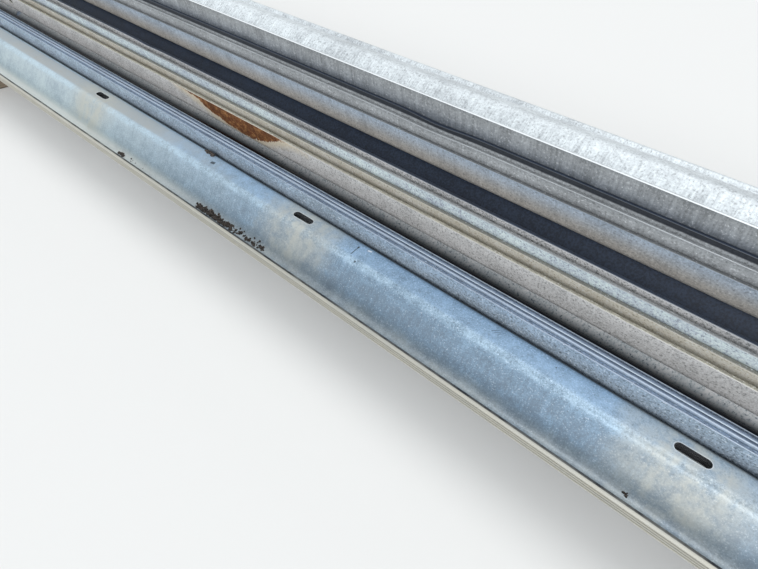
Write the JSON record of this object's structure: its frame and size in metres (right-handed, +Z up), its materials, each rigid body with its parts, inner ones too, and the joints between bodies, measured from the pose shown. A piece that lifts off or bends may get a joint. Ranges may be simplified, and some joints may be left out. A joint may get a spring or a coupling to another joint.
{
  "type": "stack of guardrail rail sections on timber bearers",
  "caption": "Pile of galvanised corrugated steel guardrail rails, nested and lapped like tiles, lying crests down on timber bearers.",
  "frame": {"origin": "centre of the pile's footprint at the underside of the timber bearers", "axes": "+X along the rails, +Y from the low front nest towards the high back of the pile, +Z up"},
  "size_m": [4.1789, 0.7776, 0.5357],
  "materials": {
    "galvanised_steel": "weathered hot-dip galvanised, matt with faint spangle",
    "timber": "rough sawn, weathered"
  },
  "bodies": {
    "root": {"bearer_left": "timber", "bearer_right": "timber", "rail_flat_1": "galvanised_steel", "rail_flat_2": "galvanised_steel", "rail_flat_3": "galvanised_steel", "rail_flat_4": "galvanised_steel", "rail_high_1": "galvanised_steel", "rail_high_2": "galvanised_steel", "rail_high_3": "galvanised_steel", "rail_low_1": "galvanised_steel", "rail_low_2": "galvanised_steel", "rail_low_3": "galvanised_steel", "rail_low_4": "galvanised_steel", "rail_middle_1": "galvanised_steel", "rail_middle_2": "galvanised_steel", "rail_middle_3": "galvanised_steel", "rail_middle_4": "galvanised_steel", "rail_top_1": "galvanised_steel"}
  },
  "joints": []
}
